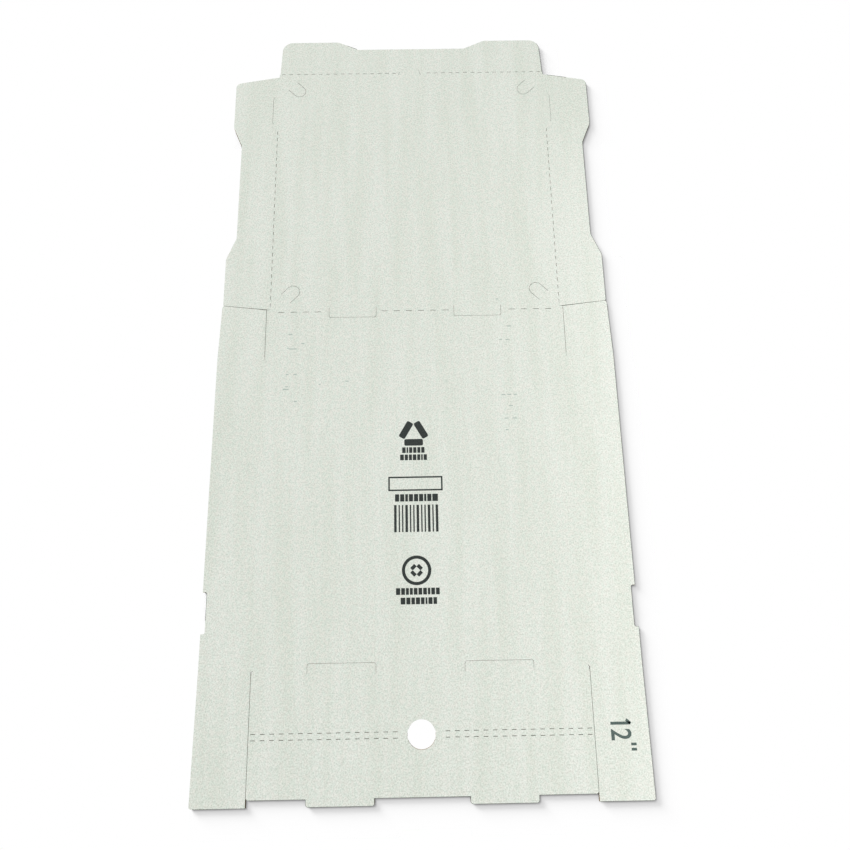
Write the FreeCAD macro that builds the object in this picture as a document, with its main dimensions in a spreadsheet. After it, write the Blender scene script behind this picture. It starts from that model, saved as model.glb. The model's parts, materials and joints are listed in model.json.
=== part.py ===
import FreeCAD, Part
import math
import os
import re
import Sketcher

# A die-cut pizza box blank of single-wall corrugated board, lying flat and unfolded.
# The printed outer liner faces up.
# Every panel is a slab of board between z = 0 (inner liner) and the board thickness.
# X runs across the box, Y runs from the front roll-over wall to the lid's front flap.
# The origin is the middle of the base panel on its inner face.
# Each crease is a line at z = 0, where two panels meet face to face, so that a panel
# can turn down about that line with nothing in its way.

doc = FreeCAD.newDocument("pizza_box_blank")

# Driving dimensions, in millimetres
sizes = {
    "board_thickness": 2.8,
    "base_width": 309.2,
    "base_length": 311.0,
    "box_depth": 49.5,
    "front_rise": 0.4,
    "side_drop": 1.3,
    "roll_depth": 5.8,
    "inner_wall_clearance": 1.7,
    "tab_reach": 3.4,
    "knife_gap": 0.4,
    "flap_clearance": 0.3,
    "side_clearance": 0.5,
    "tuck_clearance": 0.6,
    "slot_centre": 72.2,
    "slot_width": 63.0,
    "slot_clearance": 1.1,
    "tab_clearance": 1.6,
    "hinge_tongue_centre": 65.0,
    "hinge_tongue_width": 49.0,
    "hinge_tongue_depth": 6.2,
    "side_tongue_depth": 5.6,
    "side_tongue_length": 36.0,
    "side_tongue_setback": 31.0,
    "lid_flap_clearance": 0.6,
    "lid_flap_setback": 3.6,
    "lid_flap_slant": 8.4,
    "lid_flap_rear_slant": 5.5,
    "finger_bay_length": 165.0,
    "finger_bay_depth": 10.0,
    "finger_bay_slope": 24.5,
    "finger_bay_setback": 59.6,
    "lug_clearance": 4.9,
    "lug_root_inset": 0.8,
    "lug_taper": 2.2,
    "lug_inner": 84.5,
    "lug_slope": 23.0,
    "lug_rise": 10.7,
    "side_notch_length": 38.4,
    "side_notch_depth": 3.9,
    "side_notch_setback": 34.0,
    "corner_flap_flare": 1.0,
    "corner_flap_taper": 2.0,
    "finger_hole_radius": 12.8,
    "lug_radius": 12.0,
    "flap_radius": 6.0,
    "corner_radius": 2.0,
    "vent_inset": 23.5,
    "vent_radius": 7.0,
    "vent_leg": 11.0,
    "slit_width": 0.5,
    "dash_length": 4.23,
    "dash_pitch": 8.47,
    "dash_inset": 1.7,
    "dash_margin": 4.0,
    "lid_dash_inset": 6.5,
    "front_crease_gap": 15.0,
    "hinge_dash_length": 6.35,
    "hinge_dash_pitch": 12.7,
    "hinge_dash_inset": 8.5,
}

# Places worked out from the driving dimensions
places = {
    "side_crease": "base_width / 2",
    "back_crease": "base_length / 2",
    "front_crease": "-base_length / 2",
    "hinge_crease": "back_crease + box_depth",
    "roll_crease": "front_crease - box_depth - front_rise",
    "inner_crease": "roll_crease - roll_depth",
    "inner_end": "inner_crease - box_depth - front_rise + inner_wall_clearance",
    "tab_end": "inner_end - board_thickness - tab_reach",
    "wall_edge": "side_crease - knife_gap / 2",
    "wall_top": "side_crease + box_depth - side_drop",
    # The corner flaps fold inside the front and back walls, so their creases stand in by a board
    "corner_crease": "back_crease - board_thickness - flap_clearance",
    "corner_edge": "side_crease + flap_clearance",
    # The lid's side flaps tuck inside the side walls, and its front flap inside the inner wall
    "lid_crease": "side_crease - board_thickness - side_clearance",
    "lid_length": "base_length - roll_depth - 2 * board_thickness - tuck_clearance",
    "lid_front": "hinge_crease + lid_length",
    "lid_flap_edge": "lid_crease + box_depth - lid_flap_clearance",
    "lid_flap_rear": "hinge_crease + board_thickness + 2 * flap_clearance",
    "lid_flap_front": "lid_front - lid_flap_setback",
    "bay_start": "lid_flap_rear + finger_bay_setback",
    "bay_end": "bay_start + finger_bay_length",
    "side_tongue_end": "lid_front - side_tongue_setback",
    "side_tongue_start": "side_tongue_end - side_tongue_length",
    "side_tongue_edge": "lid_crease + side_tongue_depth",
    "hinge_tongue_inner": "hinge_tongue_centre - hinge_tongue_width / 2",
    "hinge_tongue_outer": "hinge_tongue_centre + hinge_tongue_width / 2",
    "hinge_tongue_end": "hinge_crease - hinge_tongue_depth",
    # The front wall's tongues leave the slots that the inner wall's tabs pass through
    "slot_inner": "slot_centre - slot_width / 2",
    "slot_outer": "slot_centre + slot_width / 2",
    "slot_end": "front_crease + roll_depth + board_thickness + slot_clearance",
    "side_notch_start": "-corner_crease + side_notch_setback",
    "side_notch_end": "side_notch_start + side_notch_length",
    "lug_end": "lid_front + box_depth - lug_clearance",
    "lug_root": "lid_crease - lug_root_inset",
    "finger_hole_centre": "(roll_crease + inner_crease) / 2",
    # Rows of dashes: as many as fit, then where each row starts
    "roll_room": "wall_edge - dash_inset - dash_length - finger_hole_radius - dash_margin",
    "roll_dashes": "floor(roll_room / dash_pitch) + 1",
    "roll_dash_end": "wall_edge - dash_inset",
    "roll_dash_start": "roll_dash_end - (roll_dashes - 1) * dash_pitch - dash_length",
    "front_room": "lug_root - dash_inset - dash_length - front_crease_gap",
    "front_dashes": "floor(front_room / dash_pitch) + 1",
    "front_dash_end": "lug_root - dash_inset",
    "front_dash_start": "front_dash_end - (front_dashes - 1) * dash_pitch - dash_length",
    "lid_dash_start": "hinge_crease + lid_dash_inset",
    "lid_side_room": "side_tongue_start - lid_dash_start - dash_length - dash_margin",
    "lid_side_dashes": "floor(lid_side_room / dash_pitch) + 1",
    "hinge_outer_start": "hinge_tongue_outer + hinge_dash_inset",
    "hinge_outer_room": "lid_crease - hinge_outer_start - hinge_dash_length - dash_margin",
    "hinge_outer_dashes": "floor(hinge_outer_room / hinge_dash_pitch) + 1",
    "hinge_outer_run": "(hinge_outer_dashes - 1) * hinge_dash_pitch + hinge_dash_length",
    "hinge_inner_room": "2 * hinge_tongue_inner - hinge_dash_length - 2 * dash_margin",
    "hinge_inner_dashes": "floor(hinge_inner_room / hinge_dash_pitch) + 1",
    "hinge_inner_run": "(hinge_inner_dashes - 1) * hinge_dash_pitch + hinge_dash_length",
}

sheet = doc.addObject("Spreadsheet::Sheet", "Sizes")
for row, (word, value) in enumerate(sizes.items(), start=1):
    sheet.set("A%d" % row, word)
    sheet.set("B%d" % row, str(value))
    sheet.setAlias("B%d" % row, word)
doc.recompute()


def formula(text):
    """Write a formula in words as a FreeCAD expression on the sheet."""
    def spell(match):
        word = match.group(0)
        if word in places:
            return "(" + formula(places[word]) + ")"
        if word == "floor":
            return word
        return "Sizes." + word
    return re.sub(r"[a-z][a-z_]+", spell, text)


def number(text):
    """Work out a formula in words now."""
    return float(sheet.evalExpression(formula(text)))


def new_body(label):
    body = doc.addObject("PartDesign::Body", label)
    body.Label = label
    return body


def new_sketch(body, name):
    sketch = body.newObject("Sketcher::SketchObject", body.Label + "_" + name)
    plane = [item for item in body.Origin.OriginFeatures if item.Role == "XY_Plane"][0]
    sketch.AttachmentSupport = [(plane, "")]
    sketch.MapMode = "FlatFace"
    return sketch


def bind(sketch, kind, target, text):
    """Add a dimension to the sketch and tie it to the sheet."""
    index = sketch.addConstraint(Sketcher.Constraint(kind, *target, number(text)))
    sketch.setExpression("Constraints[%d]" % index, formula(text))


def draw_loop(sketch, corners):
    """Draw a closed run of lines through corners given as formulas."""
    points = [FreeCAD.Vector(number(x), number(y), 0) for x, y in corners]
    first = sketch.GeometryCount
    for start, end in zip(points, points[1:] + points[:1]):
        sketch.addGeometry(Part.LineSegment(start, end), False)
    for index in range(len(points)):
        following = first + (index + 1) % len(points)
        sketch.addConstraint(Sketcher.Constraint("Coincident", first + index, 2, following, 1))
    for index, (x, y) in enumerate(corners):
        bind(sketch, "DistanceX", (-1, 1, first + index, 1), x)
        bind(sketch, "DistanceY", (-1, 1, first + index, 1), y)


def upright_edge(shape, x, y):
    """Name the edge that stands over a corner of the outline."""
    for index, edge in enumerate(shape.Edges, start=1):
        ends = [vertex.Point for vertex in edge.Vertexes]
        if all(abs(end.x - x) < 0.001 and abs(end.y - y) < 0.001 for end in ends):
            return "Edge%d" % index
    raise ValueError("no upright edge at %.3f, %.3f" % (x, y))


def make_panel(label, corners):
    """Pad an outline to a board panel; a corner's third word is its rounding."""
    body = new_body(label)
    sketch = new_sketch(body, "outline")
    draw_loop(sketch, [corner[:2] for corner in corners])
    pad = body.newObject("PartDesign::Pad", label + "_board")
    pad.Profile = sketch
    pad.setExpression("Length", formula("board_thickness"))
    sketch.Visibility = False
    doc.recompute()
    for radius in sorted({corner[2] for corner in corners if len(corner) > 2}):
        base = body.Tip
        names = [
            upright_edge(base.Shape, number(corner[0]), number(corner[1]))
            for corner in corners if corner[2:] == (radius,)
        ]
        fillet = body.newObject("PartDesign::Fillet", label + "_" + radius)
        fillet.Base = (base, names)
        fillet.setExpression("Radius", formula(radius))
        doc.recompute()
    return body


def cut_through(body, sketch, name):
    """Cut a sketch through the whole board, and make sure that it took something away."""
    before = body.Shape.Volume
    pocket = body.newObject("PartDesign::Pocket", body.Label + "_" + name)
    pocket.Profile = sketch
    pocket.Type = "ThroughAll"
    pocket.Reversed = True
    doc.recompute()
    if not body.Shape.Volume < before:
        raise ValueError(pocket.Name + " cuts nothing")
    return pocket


def cut_dashes(body, name, firsts, across, dash, pitch, count):
    """Cut rows of dashes; each row starts at a low corner and runs along X or Y."""
    sketch = new_sketch(body, name + "_first")
    wide, high = (dash, "slit_width") if across else ("slit_width", dash)
    for x, y in firsts:
        right = x + " + " + wide
        top = y + " + " + high
        draw_loop(sketch, [(x, y), (right, y), (right, top), (x, top)])
    pocket = cut_through(body, sketch, name + "_cut")
    row = body.newObject("PartDesign::LinearPattern", body.Label + "_" + name)
    row.Originals = [pocket]
    row.Direction = (sketch, ["H_Axis" if across else "V_Axis"])
    row.setExpression("Length", formula("(%s - 1) * %s" % (count, pitch)))
    row.setExpression("Occurrences", formula(count))
    body.Tip = row
    doc.recompute()


def cut_hole(body, name, x, y, radius):
    sketch = new_sketch(body, name + "_circle")
    centre = FreeCAD.Vector(number(x), number(y), 0)
    sketch.addGeometry(Part.Circle(centre, FreeCAD.Vector(0, 0, 1), number(radius)), False)
    bind(sketch, "DistanceX", (-1, 1, 0, 3), x)
    bind(sketch, "DistanceY", (-1, 1, 0, 3), y)
    bind(sketch, "Radius", (0,), radius)
    cut_through(body, sketch, name)


def cut_vent(body, name, x, y, turn):
    """Cut a U-shaped knife line for a push-in vent; its round end points along the turn."""
    sketch = new_sketch(body, name + "_line")
    sketch.AttachmentOffset = FreeCAD.Placement(
        FreeCAD.Vector(number(x), number(y), 0), FreeCAD.Rotation(FreeCAD.Vector(0, 0, 1), turn)
    )
    sketch.setExpression("AttachmentOffset.Base.x", formula(x))
    sketch.setExpression("AttachmentOffset.Base.y", formula(y))
    leg = number("vent_leg")
    inner = number("vent_radius - slit_width / 2")
    outer = number("vent_radius + slit_width / 2")
    for radius in (outer, inner):
        circle = Part.Circle(FreeCAD.Vector(0, 0, 0), FreeCAD.Vector(0, 0, 1), radius)
        quarter = math.pi / 2
        sketch.addGeometry(Part.ArcOfCircle(circle, -quarter, quarter), False)
    for side in (1, -1):
        for radius in (outer, inner):
            start = FreeCAD.Vector(0, side * radius, 0)
            end = FreeCAD.Vector(-leg, side * radius, 0)
            sketch.addGeometry(Part.LineSegment(start, end), False)
    for side in (1, -1):
        start = FreeCAD.Vector(-leg, side * outer, 0)
        end = FreeCAD.Vector(-leg, side * inner, 0)
        sketch.addGeometry(Part.LineSegment(start, end), False)
    # Geometry: arcs 0 and 1, upper legs 2 and 3, lower legs 4 and 5, leg ends 6 and 7
    joins = [(0, 2, 2, 1), (1, 2, 3, 1), (0, 1, 4, 1), (1, 1, 5, 1)]
    joins += [(2, 2, 6, 1), (3, 2, 6, 2), (4, 2, 7, 1), (5, 2, 7, 2)]
    for join in joins:
        sketch.addConstraint(Sketcher.Constraint("Coincident", *join))
    for arc in (0, 1):
        sketch.addConstraint(Sketcher.Constraint("Coincident", arc, 3, -1, 1))
        sketch.addConstraint(Sketcher.Constraint("Vertical", arc, 1, arc, 2))
    for line in (2, 3, 4, 5):
        sketch.addConstraint(Sketcher.Constraint("Horizontal", line))
    for line in (6, 7):
        sketch.addConstraint(Sketcher.Constraint("Vertical", line))
    bind(sketch, "Radius", (0,), "vent_radius + slit_width / 2")
    bind(sketch, "Radius", (1,), "vent_radius - slit_width / 2")
    bind(sketch, "DistanceX", (-1, 1, 2, 1), "0")
    bind(sketch, "DistanceX", (2, 2, 2, 1), "vent_leg")
    bind(sketch, "DistanceX", (4, 2, 4, 1), "vent_leg")
    cut_through(body, sketch, name)


def minus(text):
    return "-(" + text + ")"


def flip(corners):
    """Mirror an outline from the right side to the left, keeping its turning sense."""
    return [(minus(corner[0]),) + tuple(corner[1:]) for corner in reversed(corners)]


def both_sides(corners):
    """Close the right half of an outline with its mirror image."""
    return corners + flip(corners)


def make_base_panel():
    slot_inner = "slot_inner - knife_gap / 2"
    slot_outer = "slot_outer + knife_gap / 2"
    make_panel("base_panel", both_sides([
        (slot_inner, "front_crease"),
        (slot_inner, "slot_end", "corner_radius"),
        (slot_outer, "slot_end", "corner_radius"),
        (slot_outer, "front_crease"),
        ("side_crease", "front_crease"),
        ("side_crease", "back_crease"),
    ]))


def make_front_wall():
    tongue_inner = "slot_inner + knife_gap / 2"
    tongue_outer = "slot_outer - knife_gap / 2"
    tongue_end = "slot_end - knife_gap"
    body = make_panel("front_wall", both_sides([
        ("wall_edge", "roll_crease"),
        ("wall_edge", "front_crease"),
        (tongue_outer, "front_crease"),
        (tongue_outer, tongue_end, "corner_radius"),
        (tongue_inner, tongue_end, "corner_radius"),
        (tongue_inner, "front_crease"),
    ]))
    cut_hole(body, "finger_hole", "0", "finger_hole_centre", "finger_hole_radius")


def make_front_roll_strips():
    """The strip between the double creases, which the finger hole parts in two."""
    corners = [
        ("0", "inner_crease"),
        ("wall_edge", "inner_crease"),
        ("wall_edge", "roll_crease"),
        ("0", "roll_crease"),
    ]
    starts = {"right": "roll_dash_start", "left": minus("roll_dash_end")}
    for side, outline in (("right", corners), ("left", flip(corners))):
        body = make_panel(side + "_front_roll_strip", outline)
        cut_hole(body, "finger_hole", "0", "finger_hole_centre", "finger_hole_radius")
        firsts = [(starts[side], "inner_crease"), (starts[side], "roll_crease - slit_width")]
        cut_dashes(body, "creases", firsts, True, "dash_length", "dash_pitch", "roll_dashes")


def make_front_inner_wall():
    tab_inner = "slot_inner + tab_clearance"
    tab_outer = "slot_outer - tab_clearance"
    body = make_panel("front_inner_wall", both_sides([
        (tab_inner, "inner_end"),
        (tab_inner, "tab_end", "corner_radius"),
        (tab_outer, "tab_end", "corner_radius"),
        (tab_outer, "inner_end"),
        ("wall_edge", "inner_end", "corner_radius"),
        ("wall_edge", "inner_crease"),
    ]))
    cut_hole(body, "finger_hole", "0", "finger_hole_centre", "finger_hole_radius")


def make_side_walls():
    corners = [
        ("side_crease", "-corner_crease"),
        ("wall_top", "-corner_crease"),
        ("wall_top", "side_notch_start"),
        ("wall_top - side_notch_depth", "side_notch_start", "corner_radius"),
        ("wall_top - side_notch_depth", "side_notch_end", "corner_radius"),
        ("wall_top", "side_notch_end"),
        ("wall_top", "corner_crease"),
        ("side_crease", "corner_crease"),
    ]
    make_panel("right_wall", corners)
    make_panel("left_wall", flip(corners))


def make_front_corner_flaps():
    corners = [
        ("corner_edge", "tab_end"),
        ("wall_top + corner_flap_flare", "tab_end", "corner_radius"),
        ("wall_top", "-corner_crease"),
        ("corner_edge", "-corner_crease"),
    ]
    make_panel("right_front_corner_flap", corners)
    make_panel("left_front_corner_flap", flip(corners))


def make_back_corner_flaps():
    outer_end = "lid_flap_rear + lid_flap_rear_slant - knife_gap"
    corners = [
        ("corner_edge", "corner_crease"),
        ("wall_top", "corner_crease"),
        ("wall_top - corner_flap_taper", outer_end, "corner_radius"),
        ("corner_edge", "lid_flap_rear - knife_gap"),
    ]
    make_panel("right_back_corner_flap", corners)
    make_panel("left_back_corner_flap", flip(corners))


def make_back_wall():
    notch_inner = "hinge_tongue_inner - knife_gap / 2"
    notch_outer = "hinge_tongue_outer + knife_gap / 2"
    notch_end = "hinge_tongue_end - knife_gap"
    make_panel("back_wall", both_sides([
        ("wall_edge", "back_crease"),
        ("wall_edge", "hinge_crease"),
        (notch_outer, "hinge_crease"),
        (notch_outer, notch_end, "corner_radius"),
        (notch_inner, notch_end, "corner_radius"),
        (notch_inner, "hinge_crease"),
    ]))


def make_lid():
    tongue_inner = "hinge_tongue_inner + knife_gap / 2"
    tongue_outer = "hinge_tongue_outer - knife_gap / 2"
    body = make_panel("lid", both_sides([
        (tongue_inner, "hinge_crease"),
        (tongue_inner, "hinge_tongue_end", "corner_radius"),
        (tongue_outer, "hinge_tongue_end", "corner_radius"),
        (tongue_outer, "hinge_crease"),
        ("lid_crease", "hinge_crease"),
        ("lid_crease", "side_tongue_start"),
        ("side_tongue_edge", "side_tongue_start", "corner_radius"),
        ("side_tongue_edge", "side_tongue_end", "corner_radius"),
        ("lid_crease", "side_tongue_end"),
        ("lid_crease", "lid_front"),
    ]))
    vents = {
        "right_rear": ("lid_crease - vent_inset", "hinge_crease + vent_inset", 135),
        "left_rear": ("-lid_crease + vent_inset", "hinge_crease + vent_inset", 45),
        "right_front": ("lid_crease - vent_inset", "lid_front - vent_inset", -135),
        "left_front": ("-lid_crease + vent_inset", "lid_front - vent_inset", -45),
    }
    for name, (x, y, turn) in vents.items():
        cut_vent(body, name + "_vent", x, y, turn)
    outer = [
        ("hinge_outer_start", "hinge_crease"),
        ("-hinge_outer_start - hinge_outer_run", "hinge_crease"),
    ]
    cut_dashes(
        body, "hinge_outer", outer, True,
        "hinge_dash_length", "hinge_dash_pitch", "hinge_outer_dashes"
    )
    inner = [("-hinge_inner_run / 2", "hinge_crease")]
    cut_dashes(
        body, "hinge_inner", inner, True,
        "hinge_dash_length", "hinge_dash_pitch", "hinge_inner_dashes"
    )
    sides = [
        ("lid_crease - slit_width", "lid_dash_start"),
        ("-lid_crease", "lid_dash_start"),
    ]
    cut_dashes(body, "sides", sides, False, "dash_length", "dash_pitch", "lid_side_dashes")


def make_lid_front_flap():
    body = make_panel("lid_front_flap", both_sides([
        ("lug_root", "lid_front"),
        ("lug_root - lug_taper", "lug_end", "lug_radius"),
        ("lug_inner", "lug_end", "flap_radius"),
        ("lug_inner - lug_slope", "lug_end - lug_rise", "flap_radius"),
    ]))
    firsts = [("front_dash_start", "lid_front"), (minus("front_dash_end"), "lid_front")]
    cut_dashes(body, "crease", firsts, True, "dash_length", "dash_pitch", "front_dashes")


def make_lid_side_flaps():
    bay_edge = "lid_flap_edge - finger_bay_depth"
    tongue_edge = "side_tongue_edge + knife_gap"
    tongue_start = "side_tongue_start - knife_gap / 2"
    tongue_end = "side_tongue_end + knife_gap / 2"
    corners = [
        ("lid_crease", "lid_flap_rear"),
        ("lid_flap_edge", "lid_flap_rear + lid_flap_rear_slant", "corner_radius"),
        ("lid_flap_edge", "bay_start", "flap_radius"),
        (bay_edge, "bay_start + finger_bay_slope", "flap_radius"),
        (bay_edge, "bay_end - finger_bay_slope", "flap_radius"),
        ("lid_flap_edge", "bay_end", "flap_radius"),
        ("lid_flap_edge", "lid_flap_front - lid_flap_slant", "flap_radius"),
        ("lid_crease", "lid_flap_front"),
        ("lid_crease", tongue_end),
        (tongue_edge, tongue_end, "corner_radius"),
        (tongue_edge, tongue_start, "corner_radius"),
        ("lid_crease", tongue_start),
    ]
    make_panel("right_lid_flap", corners)
    make_panel("left_lid_flap", flip(corners))


make_base_panel()
make_front_wall()
make_front_roll_strips()
make_front_inner_wall()
make_side_walls()
make_front_corner_flaps()
make_back_corner_flaps()
make_back_wall()
make_lid()
make_lid_front_flap()
make_lid_side_flaps()

doc.recompute()
for item in doc.Objects:
    if "Invalid" in item.State or "Error" in item.State:
        raise ValueError(item.Name + " failed: " + ", ".join(item.State))

os.makedirs("parts", exist_ok=True)
for body in doc.findObjects("PartDesign::Body"):
    if body.Shape.isNull() or not body.Shape.isValid():
        raise ValueError(body.Label + " has no valid shape")
    body.Shape.exportStep("parts/" + body.Label + ".step")
    print(body.Label, "volume", round(body.Shape.Volume, 1))
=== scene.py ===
import json
import math

import bmesh
import bpy
from mathutils import Matrix, Vector

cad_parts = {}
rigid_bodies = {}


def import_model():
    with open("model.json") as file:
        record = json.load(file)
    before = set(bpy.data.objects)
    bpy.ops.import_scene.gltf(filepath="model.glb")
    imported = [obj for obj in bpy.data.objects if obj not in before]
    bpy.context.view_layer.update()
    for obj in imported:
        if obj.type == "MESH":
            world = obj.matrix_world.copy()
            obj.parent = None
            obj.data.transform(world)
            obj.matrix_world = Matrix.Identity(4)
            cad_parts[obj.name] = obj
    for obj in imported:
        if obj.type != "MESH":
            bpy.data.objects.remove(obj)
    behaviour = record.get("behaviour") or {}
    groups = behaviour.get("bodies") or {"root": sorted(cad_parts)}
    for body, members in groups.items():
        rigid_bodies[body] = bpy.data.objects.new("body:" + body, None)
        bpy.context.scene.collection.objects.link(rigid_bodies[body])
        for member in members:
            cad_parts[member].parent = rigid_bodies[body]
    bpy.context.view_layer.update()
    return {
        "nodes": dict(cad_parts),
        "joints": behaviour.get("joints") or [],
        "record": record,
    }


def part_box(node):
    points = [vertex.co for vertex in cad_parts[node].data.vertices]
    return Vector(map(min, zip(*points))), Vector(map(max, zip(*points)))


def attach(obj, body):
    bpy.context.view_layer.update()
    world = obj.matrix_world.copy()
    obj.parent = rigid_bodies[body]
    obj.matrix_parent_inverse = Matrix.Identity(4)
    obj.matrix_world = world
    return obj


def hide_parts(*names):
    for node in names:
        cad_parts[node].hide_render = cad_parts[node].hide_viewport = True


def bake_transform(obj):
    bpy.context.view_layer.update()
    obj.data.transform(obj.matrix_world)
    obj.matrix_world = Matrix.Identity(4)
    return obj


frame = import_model()
scene = bpy.context.scene

# A die-cut pizza box blank, lying flat with its white printed side up.
# Every panel is single-wall board: white outer liner, fluted medium, brown inner liner.

mm = 0.001
tiny = 0.001 * mm       # points closer than this are one
up = Vector((0, 0, 1))


def linear(hexColour):
    channels = [int(hexColour[i:i + 2], 16) / 255 for i in (1, 3, 5)]
    return [c / 12.92 if c <= 0.04045 else ((c + 0.055) / 1.055) ** 2.4 for c in channels] + [1.0]


# Materials

def newMaterial(name):
    material = bpy.data.materials.new(name)
    material.use_nodes = True
    tree = material.node_tree
    return material, tree, tree.nodes["Principled BSDF"]


def addNode(tree, kind, links=None, **settings):
    node = tree.nodes.new(kind)
    for key, value in settings.items():
        setattr(node, key, value)
    for socket, source in (links or {}).items():
        tree.links.new(source, node.inputs[socket])
    return node


def noiseOver(tree, spot, lump, detail):
    # a noise whose lumps are about this many millimetres along each axis
    stretch = addNode(tree, "ShaderNodeMapping", {0: spot})
    stretch.inputs["Scale"].default_value = [1 / mm / size for size in lump]
    noise = addNode(tree, "ShaderNodeTexNoise", {0: stretch.outputs[0]})
    noise.inputs["Scale"].default_value = 1.0
    noise.inputs["Detail"].default_value = detail
    return noise.outputs[0]


def layTone(tree, lumps, stops, under=None):
    # colours by how high the lumps stand, which darken the tone under them
    ramp = addNode(tree, "ShaderNodeValToRGB", {0: lumps})
    while len(ramp.color_ramp.elements) < len(stops):
        ramp.color_ramp.elements.new(0.5)
    for element, (place, colour) in zip(ramp.color_ramp.elements, stops):
        element.position = place
        element.color = linear(colour)
    if under is None:
        return ramp.outputs[0]
    both = {6: under, 7: ramp.outputs[0]}
    mix = addNode(tree, "ShaderNodeMix", both, data_type="RGBA", blend_type="MULTIPLY")
    mix.inputs[0].default_value = 1.0
    return mix.outputs[2]


paper = {                       # lengths in millimetres
    "clump": (1.15, 1.35, 1.3), # fibre clumps
    "low": "#d7d7ce",           # where the fibres lie thin
    "mid": "#ebe9e2",
    "high": "#faf8f1",          # where they clump
    "coat": (3.0, 3.8, 3.5),    # coating a little thick and thin
    "green": "#f8fcf9",
    "cream": "#fffdfb",
    "band": (16, 190, 60),      # soft bands that the coating blade leaves along Y
    "faint": "#f9faf8",
    "fibre": (1.0, 1.6, 1.2),
    "grainDepth": 0.07,
    "flutePitch": 6.0,
    "ribDepth": 0.03,
    "roughness": 0.72,
    "ior": 1.45,
    "specular": 0.35,
}


def makeWhiteLiner():
    # Clay-coated bleached liner, rolled onto the flutes: matt, with a fine speckle of fibre
    # clumps, and the flutes just showing through as soft ribs.
    material, tree, skin = newMaterial("bleached_liner")
    spot = addNode(tree, "ShaderNodeTexCoord").outputs["Object"]
    clumps = noiseOver(tree, spot, paper["clump"], 2.0)
    tone = layTone(tree, clumps, [(0.30, paper["low"]), (0.5, paper["mid"]), (0.70, paper["high"])])
    coat = noiseOver(tree, spot, paper["coat"], 2.0)
    tone = layTone(tree, coat, [(0.36, paper["green"]), (0.64, paper["cream"])], tone)
    band = noiseOver(tree, spot, paper["band"], 3.0)
    tone = layTone(tree, band, [(0.36, paper["faint"]), (0.62, "#ffffff")], tone)
    tree.links.new(tone, skin.inputs["Base Color"])
    skin.inputs["Roughness"].default_value = paper["roughness"]
    skin.inputs["IOR"].default_value = paper["ior"]
    skin.inputs["Specular IOR Level"].default_value = paper["specular"]
    fibre = noiseOver(tree, spot, paper["fibre"], 3.0)
    wave = addNode(tree, "ShaderNodeTexWave", {0: spot}, wave_type="BANDS", bands_direction="X")
    wave.inputs["Scale"].default_value = 2 * math.pi / 20 / (paper["flutePitch"] * mm)   # one band a flute
    wave.inputs["Distortion"].default_value = 0.6
    grain = addNode(tree, "ShaderNodeBump", {2: fibre})
    grain.inputs["Strength"].default_value = 0.5
    grain.inputs["Distance"].default_value = paper["grainDepth"] * mm
    ribs = addNode(tree, "ShaderNodeBump", {2: wave.outputs[1]})
    tree.links.new(grain.outputs[0], ribs.inputs["Normal"])
    ribs.inputs["Strength"].default_value = 0.5
    ribs.inputs["Distance"].default_value = paper["ribDepth"] * mm
    tree.links.new(ribs.outputs[0], skin.inputs["Normal"])
    return material


kraft = {                       # lengths in millimetres
    "fibre": (1.2, 4.0, 1.5),   # fibres lie along the machine
    "cloud": (30, 60, 30),
    "shade": "#ece6df",
    "grainDepth": 0.08,
    "specular": 0.25,
}


def makeKraft(name, dark, mid, light, roughness):
    # Unbleached kraft paper: brown, fibrous and matt, with dark and pale flecks.
    material, tree, skin = newMaterial(name)
    spot = addNode(tree, "ShaderNodeTexCoord").outputs["Object"]
    fibre = noiseOver(tree, spot, kraft["fibre"], 4.0)
    tone = layTone(tree, fibre, [(0.28, dark), (0.5, mid), (0.75, light)])
    cloud = noiseOver(tree, spot, kraft["cloud"], 2.0)
    tone = layTone(tree, cloud, [(0.3, kraft["shade"]), (0.65, "#ffffff")], tone)
    tree.links.new(tone, skin.inputs["Base Color"])
    skin.inputs["Roughness"].default_value = roughness
    skin.inputs["Specular IOR Level"].default_value = kraft["specular"]
    bump = addNode(tree, "ShaderNodeBump", {2: fibre})
    bump.inputs["Strength"].default_value = 0.5
    bump.inputs["Distance"].default_value = kraft["grainDepth"] * mm
    tree.links.new(bump.outputs[0], skin.inputs["Normal"])
    return material


ink = {
    "lay": (1.4, 1.4, 1.4),     # millimetres
    "roughness": 0.6,
    "specular": 0.25,
}


def makeInk(name, dark, light):
    # Flexographic ink on coated board: matt, a little thin where the board's clumps are low.
    material, tree, skin = newMaterial(name)
    spot = addNode(tree, "ShaderNodeTexCoord").outputs["Object"]
    lay = noiseOver(tree, spot, ink["lay"], 3.0)
    tone = layTone(tree, lay, [(0.35, dark), (0.75, light)])
    tree.links.new(tone, skin.inputs["Base Color"])
    skin.inputs["Roughness"].default_value = ink["roughness"]
    skin.inputs["Specular IOR Level"].default_value = ink["specular"]
    return material


whiteLiner = makeWhiteLiner()
kraftMedium = makeKraft("fluting_medium", "#6b5f4c", "#857660", "#9a8a72", 0.85)
kraftLiner = makeKraft("kraft_liner", "#9c7b54", "#b08e65", "#c2a27b", 0.8)
boardMaterials = [whiteLiner, kraftMedium, kraftLiner]
blackInk = makeInk("flexo_ink_black", "#1e2321", "#353b38")
greyInk = makeInk("flexo_ink_grey", "#4a5754", "#68756f")
scuffTone = makeInk("scuffed_coating", "#a9b4ac", "#c0c8be")
print("materials made")

# The board

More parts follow.
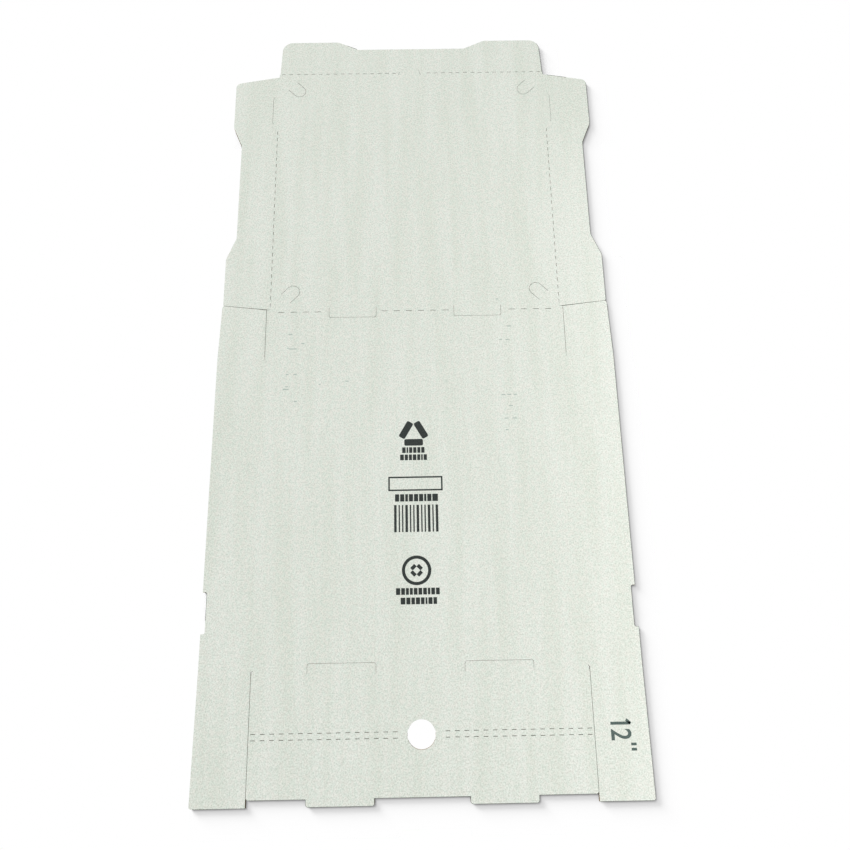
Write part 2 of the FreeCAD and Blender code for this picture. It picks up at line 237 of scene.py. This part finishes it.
board = {
    "thickness": 2.8 * mm,
    "liner": 0.30 * mm,
    "medium": 0.22 * mm,
    "flutePitch": paper["flutePitch"] * mm,
    "fluteSteps": 8,        # faces to one wave of the medium
    "knife": 0.4 * mm,
    "outerLip": 0.06 * mm,  # how far each side of a knife line springs back over the gap
    "innerLip": 0.19 * mm,
    "scrap": 2.0,           # square millimetres; smaller loose bits fall out
    "sharp": 40,            # degrees; edges turned by more stay crisp
}

folds = {
    "halfWidth": 1.5 * mm,
    "rows": 6,              # rows of faces across a crease
    "crush": 0.3,           # share of the thickness that the scoring rule takes
    "dash": 0.25 * mm,      # half the width of a short cut in the solids
    "gape": 0.42 * mm,      # and on the printed side, where it gapes
}

# Where each crease runs, in millimetres along it; the gaps are tongues that stay flat
creases = {
    "back_wall_fold": [(-154.6, 154.6)],
    "lid_hinge": [(-151.3, -89.7), (-40.3, 40.3), (89.7, 151.3)],
    "lid_front_flap_fold": [(-151.3, 151.3)],
    "left_lid_flap_fold": [(208.4, 436.8), (473.2, 500.4)],
    "right_lid_flap_fold": [(208.4, 436.8), (473.2, 500.4)],
    "left_wall_fold": [(-152.4, 152.4)],
    "right_wall_fold": [(-152.4, 152.4)],
    "left_front_corner_fold": [(-204.0, -156.1)],
    "right_front_corner_fold": [(156.1, 204.0)],
    "left_back_corner_fold": [(-204.0, -156.1)],
    "right_back_corner_fold": [(156.1, 204.0)],
    "front_wall_fold": [(-154.6, -103.9), (-40.5, 40.5), (103.9, 154.6)],
    "front_roll_fold": [(-154.4, 154.4)],
    "inner_wall_fold": [(-154.4, 154.4)],
}

dashedCreases = (
    "lid_hinge", "lid_front_flap_fold", "left_lid_flap_fold", "right_lid_flap_fold",
    "front_roll_fold", "inner_wall_fold",
)

# Knife lines that run past the folds, as start and end in millimetres
knifeLines = {
    "lid": [
        (-40.5, 205, -40.5, 210.5), (-89.5, 205, -89.5, 210.5),
        (40.5, 205, 40.5, 210.5), (89.5, 205, 89.5, 210.5),
        (-15.0, 501.5, -13.3, 506.6), (10.5, 501.7, 9.3, 506.4),
    ],
    "lid_front_flap": [
        (-15.0, 501.5, -13.3, 506.6), (10.5, 501.7, 9.3, 506.4), (9.3, 506.4, 7.3, 510.1),
    ],
    "base_panel": [
        (-153.4, -151.5, -154.7, -156), (153.4, -151.5, 154.7, -156),
    ],
}

# Small corners of board that the panels leave open, in millimetres
patches = {
    "lid": [(151.3, 205.2, 154.3, 208.1), (-154.3, 205.2, -151.3, 208.1)],
}


def splitAt(sheet, point, normal, keepInside=False):
    bmesh.ops.bisect_plane(
        sheet, geom=sheet.verts[:] + sheet.edges[:] + sheet.faces[:], dist=tiny / 2,
        plane_co=point, plane_no=normal, clear_outer=keepInside,
    )


def dropWhere(sheet, test):
    bmesh.ops.delete(
        sheet, geom=[f for f in sheet.faces if test(f.calc_center_median())], context="FACES"
    )


def dropScraps(sheet):
    # takes out the small bits that the cuts leave loose
    seen, scraps = set(), []
    for start in sheet.faces[:]:
        if start in seen:
            continue
        seen.add(start)
        island = [start]
        for face in island:
            for other in [f for edge in face.edges for f in edge.link_faces]:
                if other not in seen:
                    seen.add(other)
                    island.append(other)
        if sum(face.calc_area() for face in island) < board["scrap"] * mm * mm:
            scraps += island
    bmesh.ops.delete(sheet, geom=scraps, context="FACES")


def cutLine(sheet, line):
    start = Vector((line[0], line[1], 0)) * mm
    end = Vector((line[2], line[3], 0)) * mm
    along = (end - start).normalized()
    across = up.cross(along)
    half = board["knife"] / 2
    reach = (end - start).length
    for point, normal in ((start, along), (end, along), (start + across * half, across),
                          (start - across * half, across)):
        splitAt(sheet, point, normal)

    def inCut(centre):
        away = centre - start
        return 0 < away.dot(along) < reach and abs(away.dot(across)) < half

    dropWhere(sheet, inCut)


def boardFace(*nodes):
    # the top face of these panels, from a merged copy of their meshes, with its knife lines cut
    sheet = bmesh.new()
    for node in nodes:
        face = bmesh.new()
        face.from_mesh(frame["nodes"][node].data)
        bmesh.ops.remove_doubles(face, verts=face.verts[:], dist=tiny)
        face.normal_update()
        bmesh.ops.delete(face, geom=[f for f in face.faces if f.normal.z < 0.9], context="FACES")
        for line in knifeLines.get(node, []):
            cutLine(face, line)
        for x0, y0, x1, y1 in patches.get(node, []):
            place = Vector(((x0 + x1) / 2, (y0 + y1) / 2, 0)) * mm + up * board["thickness"]
            fit = Matrix.Translation(place) @ Matrix.Diagonal(((x1 - x0) * mm, (y1 - y0) * mm, 1, 1))
            bmesh.ops.create_grid(face, x_segments=1, y_segments=1, size=0.5, matrix=fit)
        appendTo(sheet, face)
    return sheet


def appendTo(sheet, other):
    step = bpy.data.meshes.new("step")
    other.to_mesh(step)
    other.free()
    sheet.from_mesh(step)
    bpy.data.meshes.remove(step)


def creaseOf(name):
    # the joint, the axis number across the crease and the crease's place on that axis
    joint = [j for j in frame["joints"] if j["name"] == name][0]
    across = 0 if abs(joint["axis"][1]) > 0.5 else 1
    return joint, across, joint["pos_m"][across]


def axisVector(number):
    return Vector((1, 0, 0)) if number == 0 else Vector((0, 1, 0))


def addLayer(piece, sheet, high, thick, materialIndex, wavy=False):
    layer = sheet.copy()
    for vert in layer.verts:
        vert.co.z = high
    if wavy:
        pitch = board["flutePitch"]
        step = pitch / board["fluteSteps"]
        low = min(v.co.x for v in layer.verts)
        count = int((max(v.co.x for v in layer.verts) - low) / step) + 2
        for k in range(count):
            splitAt(layer, Vector((math.floor(low / step) * step + k * step, 0, 0)), Vector((1, 0, 0)))
        rise = (board["thickness"] - 2 * board["liner"] - thick * 0.6) / 2
        for vert in layer.verts:
            vert.co.z += rise * math.cos(2 * math.pi * vert.co.x / pitch)
    grown = bmesh.ops.extrude_face_region(layer, geom=layer.faces[:], use_keep_orig=True)
    moved = [g for g in grown["geom"] if isinstance(g, bmesh.types.BMVert)]
    bmesh.ops.translate(layer, verts=moved, vec=-up * thick)
    bmesh.ops.recalc_face_normals(layer, faces=layer.faces[:])
    for face in layer.faces:
        face.material_index = materialIndex
    appendTo(piece, layer)


def addBoard(piece, outer, medium, inner):
    thickness, liner = board["thickness"], board["liner"]
    middle = thickness / 2 + board["medium"] / 2
    addLayer(piece, outer, thickness, liner, 0)
    addLayer(piece, medium, middle, board["medium"], 1, wavy=True)
    addLayer(piece, inner, liner, liner, 2)
    for sheet in (outer, medium, inner):
        sheet.free()


def grow(sheet, lip):
    # pushes the whole outline out by a lip, slits and all, each corner along its mitre
    bmesh.ops.remove_doubles(sheet, verts=sheet.verts[:], dist=tiny)
    moves = {}
    for edge in sheet.edges:
        if not edge.is_boundary:
            continue
        first, second = edge.verts
        outward = (second.co - first.co).cross(up).normalized()
        if outward.dot(first.co - edge.link_faces[0].calc_center_median()) < 0:
            outward = -outward
        for vert in edge.verts:
            moves.setdefault(vert, []).append(outward)
    for vert, ways in moves.items():
        if len(ways) == 2:
            vert.co += lip * (ways[0] + ways[1]) / max(1 + ways[0].dot(ways[1]), 0.3)


def finishPiece(name, piece, materials, body=None):
    for face in piece.faces:
        face.smooth = True
    for edge in piece.edges:
        if len(edge.link_faces) != 2 or edge.calc_face_angle(0) > math.radians(board["sharp"]):
            edge.smooth = False
    mesh = bpy.data.meshes.new(name)
    piece.to_mesh(mesh)
    piece.free()
    for material in materials:
        mesh.materials.append(material)
    made = bpy.data.objects.new(name, mesh)
    scene.collection.objects.link(made)
    if body:
        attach(made, body)
    return made


def bodyOf(node):
    bodies = frame["record"]["behaviour"]["bodies"]
    return [body for body, members in bodies.items() if node in members][0]


def bandTest(name, lip=0.0):
    _, across, place = creaseOf(name)
    half, lip = folds["halfWidth"], lip / mm

    def inBand(centre):
        along = centre[1 - across] / mm
        within = any(low - lip < along < high + lip for low, high in creases[name])
        return within and abs(centre[across] - place) < half

    return inBand


def trimToPanel(sheet, node, lip):
    for name in creases:
        joint, across, place = creaseOf(name)
        if bodyOf(node) not in (joint["parent"], joint["child"]):
            continue
        for side in (-1, 1):
            splitAt(sheet, axisVector(across) * (place + side * folds["halfWidth"]), axisVector(across))
        for low, high in creases[name]:
            for end in (low * mm - lip, high * mm + lip):
                splitAt(sheet, axisVector(1 - across) * end, axisVector(1 - across))
        dropWhere(sheet, bandTest(name, lip))
    dropScraps(sheet)


def makePanel(node):
    sheets = []
    for lip in (board["outerLip"], 0, board["innerLip"]):
        sheet = boardFace(node)
        if lip:
            grow(sheet, lip)
        trimToPanel(sheet, node, lip)
        sheets.append(sheet)
    piece = bmesh.new()
    addBoard(piece, *sheets)
    made = finishPiece(node + "_board", piece, boardMaterials, bodyOf(node))
    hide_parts(node)


def makeCrease(name):
    joint, across, place = creaseOf(name)
    half, rows = folds["halfWidth"], folds["rows"]
    bodies = frame["record"]["behaviour"]["bodies"]
    sheet = boardFace(*bodies[joint["parent"]], *bodies[joint["child"]])
    splitAt(sheet, axisVector(across) * (place + half), axisVector(across), keepInside=True)
    splitAt(sheet, axisVector(across) * (place - half), -axisVector(across), keepInside=True)
    for ends in creases[name]:
        for end in ends:
            splitAt(sheet, axisVector(1 - across) * end * mm, axisVector(1 - across))
    inBand = bandTest(name)
    dropWhere(sheet, lambda centre: not inBand(centre))
    dropScraps(sheet)
    # every corner in the band is carried across it, so that both panels meet at the same points
    for along in sorted({round(v.co[1 - across], 7) for v in sheet.verts}):
        splitAt(sheet, axisVector(1 - across) * along, axisVector(1 - across))
    for row in range(1, rows):
        splitAt(sheet, axisVector(across) * (place - half + 2 * half * row / rows), axisVector(across))
    bmesh.ops.remove_doubles(sheet, verts=sheet.verts[:], dist=2 * tiny)
    inner = sheet.copy()       # the inner liner closes up again behind the short cuts
    if name in dashedCreases:
        bmesh.ops.holes_fill(inner, edges=[e for e in inner.edges if e.is_boundary], sides=10)
    for vert in sheet.verts:   # the short cuts gape a little on the printed face
        away = vert.co[across] - place
        if name in dashedCreases and abs(abs(away) - folds["dash"]) < 0.05 * mm:
            vert.co[across] = place + math.copysign(folds["gape"], away)
    outer = sheet.copy()
    for lip, layer in ((board["outerLip"], outer), (board["innerLip"], inner)):
        for vert in layer.verts:
            for low, high in creases[name]:
                for end, way in ((low, -1), (high, 1)):
                    if abs(vert.co[1 - across] - end * mm) < 5 * tiny:
                        vert.co[1 - across] += way * lip
    piece = bmesh.new()
    addBoard(piece, outer, sheet, inner)
    for vert in piece.verts:   # the rule presses the inner side towards the outer one
        away = min(abs(vert.co[across] - place) / half, 1)
        press = folds["crush"] * (1 + math.cos(math.pi * away)) / 2
        vert.co.z = board["thickness"] - (board["thickness"] - vert.co.z) * (1 - press)
    made = finishPiece(name + "_crease", piece, boardMaterials)
    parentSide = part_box(bodies[joint["parent"]][0])
    middle = (parentSide[0][across] + parentSide[1][across]) / 2
    sign = 1 if middle < place else -1
    end = axisVector(across) * (place + sign * half)
    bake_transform(made)


for node in frame["nodes"]:
    makePanel(node)
print("panels made")
for name in creases:
    makeCrease(name)
print("creases made")

# Print: plain marks where the box carries its print

marks = {
    "ink": 0.03 * mm,       # how far the ink stands on the liner
    "sink": 0.02 * mm,      # and how far it goes in
    "ringSteps": 72,
    "blockGap": 0.9,        # millimetres between the blocks of a line
    "stripeGap": 1.95,
}


def inkBar(sheet, x, y, wide, high, turn=0.0, about=(0, 0), rounding=0.0):
    # a plain bar of ink, sized and placed in millimetres, turned about a point
    size = Matrix.Diagonal((wide * mm, high * mm, marks["ink"] + marks["sink"], 1))
    place = Matrix.Translation(Vector((x, y, 0)) * mm)
    centre = Matrix.Translation(Vector((about[0], about[1], 0)) * mm)
    lift = Matrix.Translation(up * (board["thickness"] + (marks["ink"] - marks["sink"]) / 2))
    made = bmesh.ops.create_cube(sheet, size=1)
    if rounding:
        bmesh.ops.transform(sheet, matrix=size, verts=made["verts"])
        edges = dict.fromkeys(e for v in made["verts"] for e in v.link_edges)
        upright = [e for e in edges if abs(e.verts[0].co.z - e.verts[1].co.z) > 10 * tiny]
        rounded = bmesh.ops.bevel(
            sheet, geom=upright, offset=rounding * mm, offset_type="OFFSET",
            affect="EDGES", segments=5, profile=0.5, material=-1,
        )
        verts = {v for v in made["verts"] if v.is_valid} | set(rounded["verts"])
        size = Matrix.Identity(4)
    else:
        verts = set(made["verts"])
    turned = lift @ centre @ Matrix.Rotation(turn, 4, "Z") @ place @ size
    bmesh.ops.transform(sheet, matrix=turned, verts=list(verts))


def inkRing(sheet, x, y, radius, width):
    ring = bmesh.new()
    bmesh.ops.create_circle(ring, cap_ends=True, radius=radius * mm, segments=marks["ringSteps"])
    disc = ring.faces[:]
    bmesh.ops.inset_region(ring, faces=disc, thickness=width * mm, use_boundary=True)
    bmesh.ops.delete(ring, geom=disc, context="FACES")
    grown = bmesh.ops.extrude_face_region(ring, geom=ring.faces[:], use_keep_orig=True)
    raised = [g for g in grown["geom"] if isinstance(g, bmesh.types.BMVert)]
    bmesh.ops.translate(ring, verts=raised, vec=up * (marks["ink"] + marks["sink"]))
    place = Vector((x, y, 0)) * mm + up * (board["thickness"] - marks["sink"])
    bmesh.ops.translate(ring, verts=ring.verts[:], vec=place)
    bmesh.ops.recalc_face_normals(ring, faces=ring.faces[:])
    appendTo(sheet, ring)


def blockLine(sheet, left, right, low, high, widths):
    # a line of small upright blocks, as plain as a row of tally marks
    gap = marks["blockGap"]
    scale = (right - left - gap * (len(widths) - 1)) / sum(widths)
    at = left
    for width in widths:
        inkBar(sheet, at + width * scale / 2, (low + high) / 2, width * scale, high - low, rounding=0.35)
        at += width * scale + gap


def makeBaseMarks():
    triangle = bmesh.new()
    centre = (-3.4, 71.0)
    for third in range(3):
        inkBar(triangle, 0.0, -8.6, 18.5, 6.8, third * 2 * math.pi / 3, centre, 1.6)
    finishPiece("print_three_bars", triangle, [blackInk], "base_panel")
    lines = bmesh.new()
    blockLine(lines, -14.8, 7.2, 51.6, 57.4, [3, 1.4, 2.8, 2.8, 2.6, 2.8])
    blockLine(lines, -16.9, 9.5, 44.2, 50.0, [3.2, 2.8, 2.6, 3.0, 2.6, 1.4, 2.8])
    blockLine(lines, -22.2, 19.4, 3.0, 10.2, [3, 3, 2, 3, 3, 3, 1.6, 3, 4])
    blockLine(lines, -21.9, 19.1, -85.8, -79.6, [3.4, 3, 2.4, 2.4, 3, 3, 3, 2, 3, 3])
    blockLine(lines, -17.6, 16.4, -94.6, -88.4, [3.4, 3, 2.6, 3, 2.6, 1.4, 3, 2.6])
    finishPiece("print_lines", lines, [blackInk], "base_panel")
    panel = bmesh.new()
    for side in (-1, 1):
        inkBar(panel, -2.2, 20.6 + side * 6.4, 53.0, 1.5)
        inkBar(panel, -2.2 + side * 25.75, 20.6, 1.5, 11.3)
    finishPiece("print_name_frame", panel, [blackInk], "base_panel")
    stripes = bmesh.new()
    at = -23.2
    for width in [2.4, 1.3, 1.3, 2.4, 1.3, 1.3, 2.4, 1.3, 1.3, 2.4, 1.3, 2.4]:
        inkBar(stripes, at + width / 2, -13.6, width, 26.4)
        at += width + marks["stripeGap"]
    finishPiece("print_stripes", stripes, [blackInk], "base_panel")
    ring = bmesh.new()
    inkRing(ring, -2.3, -63.2, 13.9, 3.0)
    for corner in range(4):
        inkBar(ring, 0.0, 4.2, 5.4, 3.4, math.pi / 4 + corner * math.pi / 2, (-2.3, -63.2), 0.5)
    finishPiece("print_ring", ring, [blackInk], "base_panel")


sizeMark = {                    # lengths in millimetres
    "letterSize": 24,
    "spacing": 0.92,
    "thicken": 0.3,
    "corner": (169.3, -200.7),  # where the numerals start
    "spread": (15.6, 18.2),     # how long and how high they are
    "flag": (5.2, 2.3),         # the flag of the 1
    "flagPlace": (185.4, -200.6),
    "flagTurn": 140,
    "inchBar": (4.8, 2.3),
    "inchPlaces": [(188.8, -219.6), (188.8, -223.9)],
}


def makeSizeMark():
    # plain "12" numerals and an inch mark, read from the box's right side
    curve = bpy.data.curves.new("numerals", "FONT")
    curve.body = "12"
    curve.size = sizeMark["letterSize"] * mm
    curve.space_character = sizeMark["spacing"]
    curve.offset = sizeMark["thicken"] * mm
    curve.extrude = (marks["ink"] + marks["sink"]) / 2
    holder = bpy.data.objects.new("numerals", curve)
    scene.collection.objects.link(holder)
    bpy.context.view_layer.update()
    mesh = bpy.data.meshes.new_from_object(holder.evaluated_get(bpy.context.evaluated_depsgraph_get()))
    bpy.data.objects.remove(holder)
    sheet = bmesh.new()
    sheet.from_mesh(mesh)
    bpy.data.meshes.remove(mesh)
    bmesh.ops.remove_doubles(sheet, verts=sheet.verts[:], dist=tiny)
    xs = [v.co.x for v in sheet.verts]
    ys = [v.co.y for v in sheet.verts]
    long, tall = sizeMark["spread"]
    fit = Matrix.Diagonal((long * mm / (max(xs) - min(xs)), tall * mm / (max(ys) - min(ys)), 1, 1))
    place = Vector((*sizeMark["corner"], 0)) * mm
    place += up * (board["thickness"] + (marks["ink"] - marks["sink"]) / 2)
    turned = Matrix.Translation(place) @ Matrix.Rotation(-math.pi / 2, 4, "Z") @ fit
    start = Matrix.Translation(Vector((-min(xs), -min(ys), 0)))
    bmesh.ops.transform(sheet, matrix=turned @ start, verts=sheet.verts[:])
    inkBar(sheet, 0, 0, *sizeMark["flag"], math.radians(sizeMark["flagTurn"]), sizeMark["flagPlace"])
    for x, y in sizeMark["inchPlaces"]:
        inkBar(sheet, x, y, *sizeMark["inchBar"])
    finishPiece("print_size_mark", sheet, [greyInk], "right_front_corner_flap")


# Short faint rubs that the machine's feed wheels left, in millimetres: x, y, length
feedMarks = {
    "base_panel": [
        (-131, 136, 3), (-123, 136, 3), (-131, 123, 3), (-132, 120, 6), (-98, 125, 2), (-122, 107, 3),
        (-70, 128, 3), (88, 111, 4), (94, 111, 4), (100, 111, 3), (95, 99, 4), (90, 86, 4), (98, 86, 4),
        (90, 74, 3),
    ],
    "back_wall": [
        (-129, 180, 4), (-131, 165, 2), (-116, 170, 3), (-126, 164, 8), (97, 186, 5), (88, 171, 3),
        (95, 171, 4),
    ],
    "lid": [(86, 217, 3)],
}


def makeFeedMarks():
    for node, rubs in feedMarks.items():
        sheet = bmesh.new()
        for x, y, long in rubs:
            inkBar(sheet, x, y, long, 0.9, rounding=0.3)
        finishPiece(node + "_feed_marks", sheet, [scuffTone], node)


makeBaseMarks()
makeSizeMark()
makeFeedMarks()
print("print and marks made")

# Floor, lamps and camera

studio = {
    "floor": "#ffffff",
    "sky": (0.80, 0.96, 1.0, 1.0),
    "skyStrength": 0.40,
    "lampColour": (1.0, 0.975, 0.95),
    "lampSide": 135,        # degrees round from +X, so the lamps stand behind the left
    "key": (1.28, 48, 30),  # strength, degrees above the floor, spread
    "low": (3.0, 15, 22),
    "fillPower": 0.36,
    "fillSize": (0.9, 0.10),
    "fillPlace": (0.36, -0.05, 0.12),
    "fillTarget": (0.19, -0.05, 0),
}

# The floor is a rim at the right and front of the blank, where its shadow falls, on a white world.
# It is left out under the blank, so that the panels can fold down past it. These boxes, in
# millimetres, lie a little inside the blank's outline, and each is there on the left side too.
floorOpenings = [
    (0, -258.5, 154, 503), (43.5, -264.5, 101, -258.5), (156, -264.5, 201.5, -119.5),
    (154, -119.5, 197.8, -79), (154, -258.5, 156, 503), (156, -79, 201.5, 150),
    (156, 150, 199.5, 207), (156, 207, 189, 491), (189, 207, 199, 266),
    (189, 435, 199, 491), (0, 503, 147, 536.5), (86, 536.5, 136, 547),
]
floorRim = {"right": 23, "front": 27}   # how far it reaches, in millimetres
floorDrop = 0.02 * mm   # the floor lies this far under the board
floorHalf = 700 * mm    # half the width of the sheet that it is cut from


def inAny(boxes, centre):
    x, y = centre.x / mm, centre.y / mm
    return any(x0 < x < x1 and y0 < y < y1 for x0, y0, x1, y1 in boxes)


def makeFloor():
    openings = floorOpenings + [(-x1, y0, -x0, y1) for x0, y0, x1, y1 in floorOpenings]
    reach = [(x0, y0 - floorRim["front"], x1 + floorRim["right"], y1) for x0, y0, x1, y1 in openings]
    sheet = bmesh.new()
    bmesh.ops.create_grid(sheet, x_segments=1, y_segments=1, size=floorHalf)
    for across in (0, 1):
        for line in sorted({box[k] for box in openings + reach for k in (across, across + 2)}):
            splitAt(sheet, axisVector(across) * line * mm, axisVector(across))
    dropWhere(sheet, lambda centre: inAny(openings, centre) or not inAny(reach, centre))
    bmesh.ops.translate(sheet, verts=sheet.verts[:], vec=-up * floorDrop)
    mesh = bpy.data.meshes.new("floor")
    sheet.to_mesh(mesh)
    sheet.free()
    material, tree, skin = newMaterial("studio_floor")
    skin.inputs["Base Color"].default_value = linear(studio["floor"])
    skin.inputs["Roughness"].default_value = 1.0
    skin.inputs["Specular IOR Level"].default_value = 0.0
    mesh.materials.append(material)
    floor = bpy.data.objects.new("floor", mesh)
    scene.collection.objects.link(floor)
    floor.is_shadow_catcher = True


def makeSky():
    world = bpy.data.worlds.new("studio")
    scene.world = world
    world.use_nodes = True
    tree = world.node_tree
    backdrop = tree.nodes["Background"]
    backdrop.inputs[0].default_value = studio["sky"]
    backdrop.inputs[1].default_value = studio["skyStrength"]
    seen = addNode(tree, "ShaderNodeBackground")
    seen.inputs[0].default_value = (1, 1, 1, 1)
    seen.inputs[1].default_value = 1.0
    rays = addNode(tree, "ShaderNodeLightPath").outputs
    direct = rays["Is Camera Ray"]
    for other in ("Is Glossy Ray", "Is Transmission Ray"):
        either = addNode(tree, "ShaderNodeMath", {0: direct, 1: rays[other]}, operation="MAXIMUM")
        direct = either.outputs[0]
    mix = addNode(tree, "ShaderNodeMixShader", {0: direct, 1: backdrop.outputs[0], 2: seen.outputs[0]})
    tree.links.new(mix.outputs[0], tree.nodes["World Output"].inputs[0])


def aimAt(lamp, place, target):
    lamp.location = place
    lamp.rotation_mode = "QUATERNION"
    lamp.rotation_quaternion = (Vector(target) - Vector(place)).to_track_quat("-Z", "Y")


def makeLamps():
    for name in ("key", "low"):
        strength, rise, spread = studio[name]
        sun = bpy.data.lights.new(name, "SUN")
        sun.energy = strength
        sun.angle = math.radians(spread)
        sun.color = studio["lampColour"]
        lamp = bpy.data.objects.new(name, sun)
        scene.collection.objects.link(lamp)
        rise, side = math.radians(rise), math.radians(studio["lampSide"])
        flat = math.cos(rise)
        aimAt(lamp, (flat * math.cos(side), flat * math.sin(side), math.sin(rise)), (0, 0, 0))
    fill = bpy.data.lights.new("fill", "AREA")
    fill.shape = "RECTANGLE"
    fill.size, fill.size_y = studio["fillSize"]
    fill.energy = studio["fillPower"]
    lamp = bpy.data.objects.new("fill", fill)
    scene.collection.objects.link(lamp)
    lamp.visible_camera = False
    lit = bpy.data.collections.new("lit_by_fill")   # the fill leaves the floor's shadow alone
    for piece in scene.collection.all_objects:
        if piece.type == "MESH" and piece.name != "floor":
            lit.objects.link(piece)
    lamp.light_linking.receiver_collection = lit
    aimAt(lamp, studio["fillPlace"], studio["fillTarget"])


viewpoint = {
    "lens": 33.538,
    "place": (0.00164, -0.14893, 0.75907),
    "turn": (16.856, -0.187, -1.0275),
}


def makeCamera():
    camera = bpy.data.cameras.new("camera")
    camera.sensor_width = 36
    camera.lens = viewpoint["lens"]
    camera.clip_start = 0.01
    camera.clip_end = 100
    holder = bpy.data.objects.new("camera", camera)
    scene.collection.objects.link(holder)
    holder.location = viewpoint["place"]
    holder.rotation_euler = [math.radians(angle) for angle in viewpoint["turn"]]
    scene.camera = holder


makeFloor()
makeSky()
makeLamps()
makeCamera()
scene.view_settings.view_transform = "Standard"
print("studio made")
